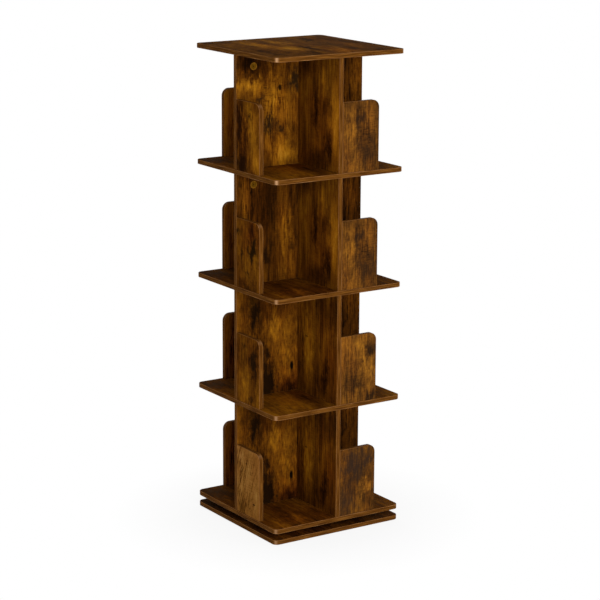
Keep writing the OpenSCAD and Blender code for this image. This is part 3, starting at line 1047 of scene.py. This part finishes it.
@dataclass
class Joinery:
    """The finishes and sizes that all the boards share."""

    edges: Material
    arris: Material
    core: Material
    papers: dict[str, Material] = field(default_factory=dict)
    board_w: float = 390.0
    board_t: float = 12.0
    storey: float = 303.0

    def skins(self, sheet: Sheet, far: Sheet | None = None) -> tuple[Material, ...]:
        """The materials of a board with this sheet on its faces; each laminate is made once.

        Args:
            sheet: the stretch of decor paper.
            far: the sheet on the far face, if it is another one.

        Returns:
            The materials in the order of Skin.
        """
        far = far or sheet
        for side in (sheet, far):
            if side.name not in self.papers:
                self.papers[side.name] = DecorLaminate("melamine decor, " + side.name, sheet=side).make()
        return self.papers[sheet.name], self.edges, self.arris, self.core, self.papers[far.name]

    def square(
        self, node: str, body: str, sheet: Sheet, painted_highlight: float, bores: tuple[Bore, ...] = ()
    ) -> Piece:
        """Builds one square board with four round corners.

        Args:
            node: the CAD node.
            body: the CAD body.
            sheet: the decor paper on it.
            painted_highlight: how strong the painted highlight of its band is half way round a corner.
            bores: holes that show.

        Returns:
            The finished piece.
        """
        half = self.board_w / 2 * MM
        corners = tuple(Vector((x, y, 0.0)) for x in (-half, half) for y in (-half, half))
        return Board(
            node, body, Axis.Z, Axis.Y, self.skins(sheet), (-half, -half, 0.0), corners=corners, bores=bores,
            painted_highlight=painted_highlight,
        ).build()


@dataclass
class Shelves:
    """The base, the four shelves and the top board, and where their screws go."""

    joinery: Joinery
    base_z: float = 1.5
    bottom_z: float = 31.0
    # The shelves from the bottom up, with their papers and how strong the painted highlight of their band is
    # round the corners, strongest on the upper shelves.
    shelves: tuple[tuple[str, Sheet, float], ...] = (
        ("bottom_shelf", FLOOR_DEEP, 0.45),
        ("lower_shelf", FLOOR_PALE, 0.5),
        ("middle_shelf", FLOOR_DEEP, 0.6),
        ("upper_shelf", FLOOR_PALE, 0.9),
    )
    # How strong the painted highlight is round the corners of the base and of the top board.
    base_highlight: float = 0.45
    top_highlight: float = 0.9
    # On the left leg, the screws into the divider and those into the book stop.
    divider_spots: tuple[Pair, ...] = ((-163.5, 0.0), (-103.5, 0.0))
    stop_spots: tuple[Pair, ...] = ((-187.5, -31.0), (-187.5, -91.0))
    bolt_xy: float = 72.5
    head_r: float = 3.75
    shank_r: float = 2.0
    bolt_head_r: float = 5.0
    bolt_r: float = 2.5
    play: float = 0.1
    # How far a cutter reaches past the board.
    lip: float = 0.5
    # The pockets that the pivot's flanges turn in: their radius, and from where to where they are cut.
    pocket_r: float = 16.5
    base_pocket: Pair = (10.0, 14.0)
    shelf_pocket: Pair = (30.5, 34.8)

    def on_legs(self, spots: Iterable[Pair]) -> list[Vector]:
        """Spots of the left leg, repeated on all four legs."""
        return [leg.turn() @ Vector((x, y, 0.0)) for leg in Leg for x, y in spots]

    def bolt_spots(self) -> list[Vector]:
        """The four corners that the base bolts go through."""
        ends = (-self.bolt_xy, self.bolt_xy)
        return [Vector((x, y, 0.0)) for x in ends for y in ends]

    def levels(self) -> list[float]:
        """The heights of the undersides of the four shelves."""
        return [self.bottom_z + level * self.joinery.storey for level in range(len(self.shelves))]

    def countersinks(
        self, spots: Iterable[Vector], z: float, head_r: float, shank_r: float
    ) -> tuple[Bore, ...]:
        """Countersunk holes that open downwards at height z and run through the board.

        Args:
            spots: where the holes are.
            z: the height of the board's underside.
            head_r: the radius of the screw's head.
            shank_r: the radius of its shank.

        Returns:
            The holes, wider than the screw by the play.
        """
        cut = shank_r + self.play
        low, top = z - self.lip, z + self.joinery.board_t + self.lip
        wide = head_r + self.play + self.lip
        profile = ((0.0, low), (wide, low), (cut, low + wide - cut), (cut, top), (0.0, top))
        return tuple(Bore(spot.x, spot.y, profile) for spot in spots)

    def pocket(self, low: float, high: float) -> tuple[Bore]:
        """The round pocket that a flange of the pivot turns in."""
        return (Bore(0.0, 0.0, ((0.0, low), (self.pocket_r, low), (self.pocket_r, high), (0.0, high))),)

    def build(self) -> None:
        """Builds the six square boards, from the floor up."""
        square = self.joinery.square
        bores = self.countersinks(self.bolt_spots(), self.base_z, self.bolt_head_r, self.bolt_r)
        bores += self.pocket(*self.base_pocket)
        square("base_board", "base", FLOOR_PAINTED_SHADE, self.base_highlight, bores)
        spots = self.on_legs(self.divider_spots + self.stop_spots)
        for (node, sheet, painted_highlight), z in zip(self.shelves, self.levels()):
            bores = self.countersinks(spots, z, self.head_r, self.shank_r)
            if z == self.bottom_z:
                bores += self.pocket(*self.shelf_pocket)
            square(node, "column", sheet, painted_highlight, bores)
        square("top_board", "column", TOP, self.top_highlight)


@dataclass
class Crosses:
    """The dividers: on each tier one through board and two half boards that butt against it."""

    joinery: Joinery
    left: tuple[Sheet, ...] = (LEFT_LOW, LEFT_LOW, LEFT_3, LEFT_4)
    front: tuple[Sheet, ...] = (FRONT_LOW, FRONT_LOW, FRONT_HIGH, FRONT_HIGH)
    rear: tuple[Sheet, ...] = (FRONT_HIGH, FRONT_LOW, FRONT_HIGH, FRONT_LOW)

    def build(self) -> None:
        """Builds the twelve dividers."""
        for tier, sheets in enumerate(zip(self.left, self.front, self.rear), start=1):
            for place, sheet in zip(("through", "front", "rear"), sheets):
                node = f"{place}_divider_{tier}"
                lo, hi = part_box(node)
                thin = Axis.Y if place == "through" else Axis.X
                # The paper of a front board starts at its inner end.
                flip = place == "front"
                start = (lo.x, hi.y if flip else lo.y, lo.z)
                Board(node, "column", thin, Axis.Z, self.joinery.skins(sheet), start, flip=flip).build()


@dataclass
class BookStops:
    """The sixteen stops, a pinwheel of four on each tier, each with one round upper corner."""

    joinery: Joinery
    sheets: dict[Leg, tuple[Sheet, ...]] = field(default_factory=lambda: {
        Leg.LEFT: (STOP_TAN, STOP_C, STOP_B, STOP_A),
        Leg.FRONT: (STOP_F, STOP_E, STOP_D, STOP_D),
        Leg.RIGHT: (STOP_B, STOP_D, STOP_A, STOP_E),
        Leg.REAR: (STOP_DARK, STOP_DARK, STOP_PAINTED_LIGHTER, STOP_PAINTED_LIGHTEST),
    })
    # Outside, the rear stops take plain papers; inside, the upper two carry painted light.
    rear_outside: tuple[Sheet, ...] = (STOP_C, STOP_E, STOP_B, STOP_F)
    corner_r: float = 20.0
    # The painted highlight round a stop's round corner is faint.
    painted_highlight: float = 0.15

    def build(self) -> None:
        """Builds the stops with their free upper corners rounded."""
        for leg, sheets in self.sheets.items():
            # The stop of the left leg runs along -Y from its divider, and the others turn with their legs.
            runs = leg.turn() @ Vector((0.0, -1.0, 0.0))
            along_y = abs(runs.y) > ALONG
            back = (runs.y if along_y else runs.x) < 0
            outsides = self.rear_outside if leg is Leg.REAR else sheets
            for tier, (sheet, outside) in enumerate(zip(sheets, outsides), start=1):
                node = f"{leg.name.lower()}_stop_{tier}"
                lo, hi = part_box(node)
                corner = Vector((lo.x if back else hi.x, lo.y if back else hi.y, hi.z))
                start = (hi.x if back and not along_y else lo.x, hi.y if back and along_y else lo.y, lo.z)
                skins = self.joinery.skins(sheet, outside)
                Board(
                    node, "column", Axis.X if along_y else Axis.Y, Axis.Z, skins, start, flip=back,
                    corners=(corner,), corner_r=self.corner_r, painted_highlight=self.painted_highlight,
                ).build()


# Fittings


@dataclass
class Screws:
    """The screws under the shelves and the bolts under the base, with a cross pressed into each head."""

    shelves: Shelves
    zinc: Material
    screw_l: float = 37.6
    # A screw narrows to this share of its shank over the last millimetres.
    point_l: float = 4.0
    point_share: float = 0.25
    sides: int = 16
    smooth_below: float = 30.0
    # The cross is a ring of twelve points with every third one pulled in; sizes are shares of the head.
    points: int = 12
    cross_r: float = 0.56
    pull: float = 0.366
    taper: float = 0.6
    depth: float = 0.4

    def drive(self, bm: BMesh, place: Vector, profile: Sequence[Pair]) -> None:
        """Adds one screw that points up.

        Args:
            bm: the bmesh that gets the screw.
            place: the middle of its head, in millimetres.
            profile: radius and height in millimetres, from the head's rim to the tip.
        """
        head_r = profile[0][0]
        before = set(bm.verts)
        lathe(bm, profile, self.sides, Matrix.Identity(4))
        rim = [e for e in bm.edges if e.is_boundary and e.verts[0] not in before]
        ring = bmesh.ops.create_circle(bm, segments=self.points, radius=self.cross_r * head_r * MM)
        cross = ring["verts"]
        bmesh.ops.rotate(bm, verts=cross, matrix=Matrix.Rotation(2 * QUARTER / self.points, 3, "Z"))
        inner = [v for v in cross if abs(abs(v.co.x) - abs(v.co.y)) < MM / 100]
        bmesh.ops.scale(bm, vec=(self.pull, self.pull, 1.0), verts=inner)
        outline = list({edge for vert in cross for edge in vert.link_edges})
        bmesh.ops.triangle_fill(bm, edges=rim + outline, use_beauty=True, normal=(0.0, 0.0, -1.0))
        walls = bmesh.ops.extrude_edge_only(bm, edges=outline)["geom"]
        deep = [part for part in walls if isinstance(part, bmesh.types.BMVert)]
        bmesh.ops.scale(bm, vec=(self.taper, self.taper, 1.0), verts=deep)
        bmesh.ops.translate(bm, vec=(0.0, 0.0, self.depth * head_r * MM), verts=deep)
        floor = [part for part in walls if isinstance(part, bmesh.types.BMEdge)]
        bmesh.ops.contextual_create(bm, geom=floor)
        made = [v for v in bm.verts if v not in before]
        bmesh.ops.translate(bm, vec=place * MM, verts=made)

    def build(self) -> None:
        """Builds the screws of dividers and stops on every level, and the base bolts."""
        boards = self.shelves
        head, shank, tip = boards.head_r, boards.shank_r, self.screw_l
        neck, point = tip - self.point_l, shank * self.point_share
        screw = ((head, 0.0), (shank, head - shank), (shank, neck), (point, tip), (0.0, tip))
        lo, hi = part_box("base_bolts")
        head, shank, tip = boards.bolt_head_r, boards.bolt_r, (hi.z - lo.z) / MM
        bolt = ((head, 0.0), (shank, head - shank), (shank, tip), (0.0, tip))
        rows = (
            ("divider_screws", "column", screw, boards.on_legs(boards.divider_spots), boards.levels()),
            ("stop_screws", "column", screw, boards.on_legs(boards.stop_spots), boards.levels()),
            ("base_bolts", "base", bolt, boards.bolt_spots(), [boards.base_z]),
        )
        for node, body, profile, spots, levels in rows:
            bm = bmesh.new()
            for z in levels:
                for spot in spots:
                    self.drive(bm, spot + Vector((0.0, 0.0, z)), profile)
            piece = finish_mesh(bm, node + "_driven", self.smooth_below)
            piece.data.materials.append(self.zinc)
            ride_for(piece, node, body)


@dataclass
class BallRing:
    """The balls that the swivel runs on."""

    steel: Material
    count: int = 20
    smooth_below: float = 60.0

    def build(self) -> Piece:
        """Puts the balls on their circle, as wide and as high as the node's box says.

        Returns:
            The balls as one piece.
        """
        lo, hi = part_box("bearing_balls")
        ball_r = (hi.z - lo.z) / 2
        middle = Matrix.Translation((lo + hi) / 2)
        out = Matrix.Translation((hi.x - ball_r, 0.0, 0.0))
        bm = bmesh.new()
        for i in range(self.count):
            spot = middle @ Matrix.Rotation(4 * QUARTER * i / self.count, 4, "Z") @ out
            bmesh.ops.create_icosphere(bm, subdivisions=3, radius=ball_r, matrix=spot)
        piece = finish_mesh(bm, "swivel_balls", self.smooth_below)
        piece.data.materials.append(self.steel)
        return ride_for(piece, "bearing_balls", "ball_ring")


@dataclass
class Fittings:
    """Caps over the cams, with finishes in the order of CapSkin, and fittings that keep their CAD shape."""

    joinery: Joinery
    caps: tuple[Material, ...]
    cap_r: float = 10.0
    cap_t: float = 1.0
    cap_steps: int = 36
    dish_r: float = 6.8
    dish_deep: float = 0.4
    dimple_r: float = 1.8
    dimple_deep: float = 0.7
    smooth_below: float = 40.0
    tiers: int = 4
    # Up to this tier the caps are umber all over.
    umber_tiers: int = 2
    # The lowest cap on the left leg.
    first: Point = (-141.5, -6.0, 303.0)

    def build_caps(self) -> Piece:
        """Lathes the caps, with a soft rim, a dish and a dimple: umber below, honey on the upper two tiers.

        On those the dish is painted darker and the dimple umber: painted shade in the recesses.

        Returns:
            The sixteen caps as one piece.
        """
        rim_r, rim = self.cap_r, self.cap_t
        dish, dimple = rim - self.dish_deep, rim - self.dimple_deep
        # The rim is rounded over half a millimetre, and the dish and the dimple have sloping walls.
        profile = (
            (0.0, 0.0), (rim_r, 0.0), (rim_r, rim - 0.45), (rim_r - 0.15, rim - 0.15), (rim_r - 0.5, rim),
            (self.dish_r + 0.7, rim), (self.dish_r, dish), (self.dimple_r, dish),
            (self.dimple_r - 0.5, dimple), (0.0, dimple),
        )
        bm = bmesh.new()
        for tier in range(self.tiers):
            spot = (Vector(self.first) + Vector((0.0, 0.0, tier * self.joinery.storey))) * MM
            for leg in Leg:
                place = leg.turn() @ Matrix.Translation(spot) @ Matrix.Rotation(QUARTER, 4, "X")
                cap = lathe(bm, profile, self.cap_steps, place)
                for face in {face for vert in cap for face in vert.link_faces}:
                    gap = face.calc_center_median() - place.translation
                    radius = math.hypot(gap.z, gap.x if leg in (Leg.LEFT, Leg.RIGHT) else gap.y)
                    # Dimples, and the dishes of the upper caps, take darker finishes: painted shade in the
                    # recesses. The lower caps are umber all over.
                    if tier < self.umber_tiers or radius < self.dimple_r * MM:
                        face.material_index = CapSkin.UMBER
                    else:
                        face.material_index = CapSkin.DISH if radius < self.dish_r * MM else CapSkin.RIM
        piece = finish_mesh(bm, "cam_cover_caps", self.smooth_below)
        for material in self.caps:
            piece.data.materials.append(material)
        return ride_for(piece, "cam_covers", "column")

    def dress(self, finishes: dict[str, Material]) -> None:
        """Gives the CAD nodes that stay their materials.

        Args:
            finishes: the material of each node.
        """
        for node, material in finishes.items():
            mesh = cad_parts[node].data
            mesh.materials.clear()
            mesh.materials.append(material)
            log.info("%s keeps its shape in %s", node, material.name)


# Studio


@dataclass
class Studio:
    """White paper floor, soft lights, even fill and the camera, in metres and degrees."""

    eye: Point = (-2.950, -4.497, 1.8605)
    azimuth: float = -33.318
    elevation: float = 13.324
    roll: float = 0.274
    lens: float = 126.1
    floor_half: float = 12.0
    # The share of light that the paper sends back, and at which distance how much of it is plain white.
    albedo: float = 0.9
    near: Pair = (0.26, 0.88)
    far: Pair = (0.5, 1.0)
    # The power in watts, the size and the place of each soft box; all are aimed at one spot.
    boxes: tuple[tuple[str, float, Pair, Point], ...] = (
        ("key_softbox", 98.0, (2.2, 2.4), (-0.9, -3.5, 1.4)),
        ("rear_softbox", 52.0, (1.4, 2.4), (0.4, 3.5, 1.3)),
        ("side_softbox", 36.0, (2.0, 1.2), (3.4, 1.0, 0.6)),
    )
    aim: Point = (0.0, 0.0, 1.1)
    fill: float = 0.4

    def build_floor(self) -> Piece:
        """Lays the paper that the bookcase stands on.

        Returns:
            The floor.
        """
        bm = bmesh.new()
        bmesh.ops.create_grid(bm, x_segments=2, y_segments=2, size=self.floor_half)
        floor = finish_mesh(bm, "studio_floor")
        # Seamless white paper: soft and even, with the bookcase's own shadow on it.
        material = bpy.data.materials.new("seamless white paper")
        material.use_nodes = True
        tree = material.node_tree
        tree.nodes.clear()
        where = add_node(tree, "TexCoord", out="Object")
        distance = add_node(tree, "VectorMath", {0: where}, out="Value", operation="LENGTH")
        reach = add_node(tree, "MapRange", {
            "Value": distance, "From Min": self.near[0], "From Max": self.far[0],
            "To Min": self.near[1], "To Max": self.far[1],
        })
        share = add_node(tree, "Math", {0: seen_directly(tree), 1: reach}, operation="MULTIPLY")
        matt = add_node(tree, "BsdfDiffuse", {"Color": (self.albedo, self.albedo, self.albedo, 1.0)})
        white = add_node(tree, "Emission", {"Color": linear("#ffffff"), "Strength": 1.0})
        mixed = add_node(tree, "MixShader", {0: share, 1: matt, 2: white})
        add_node(tree, "OutputMaterial", {"Surface": mixed})
        floor.data.materials.append(material)
        floor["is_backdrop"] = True
        return floor

    def build_lights(self) -> None:
        """Hangs the soft lights and sets the even white surround."""
        for name, power, size, spot in self.boxes:
            lamp = bpy.data.lights.new(name, "AREA")
            lamp.shape = "RECTANGLE"
            lamp.size, lamp.size_y = size
            lamp.energy = power
            box = bpy.data.objects.new(name, lamp)
            bpy.context.scene.collection.objects.link(box)
            box.location = spot
            box.rotation_euler = (Vector(self.aim) - box.location).to_track_quat("-Z", "Y").to_euler()
            box.visible_camera = False
            # The boxes behind the bookcase only lift its far sides, and none of them mirrors in its top.
            box.visible_glossy = name == "key_softbox"
        world = bpy.data.worlds.new("white_surround")
        bpy.context.scene.world = world
        world.use_nodes = True
        tree = world.node_tree
        tree.nodes.clear()
        fill, white = [
            add_node(tree, "Background", {"Color": linear("#ffffff"), "Strength": strength})
            for strength in (self.fill, 1.0)
        ]
        mixed = add_node(tree, "MixShader", {0: seen_directly(tree), 1: fill, 2: white})
        add_node(tree, "OutputWorld", {"Surface": mixed})

    def build_camera(self) -> None:
        """Sets the camera where the photograph was taken from."""
        data = bpy.data.cameras.new("camera")
        data.lens = self.lens
        data.sensor_width = 36.0
        data.clip_start, data.clip_end = 0.1, 100.0
        camera = bpy.data.objects.new("camera", data)
        bpy.context.scene.collection.objects.link(camera)
        turn, lift = math.radians(self.azimuth), math.radians(self.elevation)
        back = Vector((math.sin(turn) * math.cos(lift), -math.cos(turn) * math.cos(lift), math.sin(lift)))
        level = (-back).to_track_quat("-Z", "Y").to_matrix().to_4x4()
        roll = Matrix.Rotation(math.radians(self.roll), 4, "Z")
        camera.matrix_world = Matrix.Translation(self.eye) @ level @ roll
        bpy.context.scene.camera = camera


def main() -> None:
    """Builds the bookcase and the studio in order."""
    logging.basicConfig(level=logging.INFO, format="%(name)s: %(message)s")
    bpy.context.scene.view_settings.view_transform = "Standard"
    studio = Studio()
    studio.build_camera()
    studio.build_floor()
    studio.build_lights()
    joinery = Joinery(BAND.make(), TRIMMED_ARRIS_HIGHLIGHT.make(), CHIPBOARD.make())
    shelves = Shelves(joinery)
    shelves.build()
    Crosses(joinery).build()
    BookStops(joinery).build()
    fittings = Fittings(joinery, (HONEY_CAP.make(), PAINTED_SHADE_CAP.make(), UMBER_CAP.make()))
    fittings.build_caps()
    zinc, steel, birch = ZINC.make(), POWDER_COAT.make(), BIRCH.make()
    Screws(shelves, zinc).build()
    BallRing(BEARING_STEEL.make()).build()
    fittings.dress({
        "foot_pads": FOAM.make(),
        "weld_nuts": zinc,
        "swivel_screws": zinc,
        "swivel_lower_plate": steel,
        "swivel_upper_plate": steel,
        "swivel_pivot": zinc,
        "ball_cage": NYLON.make(),
        "cam_locks": zinc,
        "cam_bolts": zinc,
        "divider_dowels": birch,
        "stop_dowels": birch,
        "cross_dowels": birch,
    })
    boxes = {"cad": CAD_BOX, "visual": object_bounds()}
    for name, box in boxes.items():
        log.info("%s box %s", name, [tuple(round(value, 4) for value in corner) for corner in box])


if __name__ == "__main__":
    main()
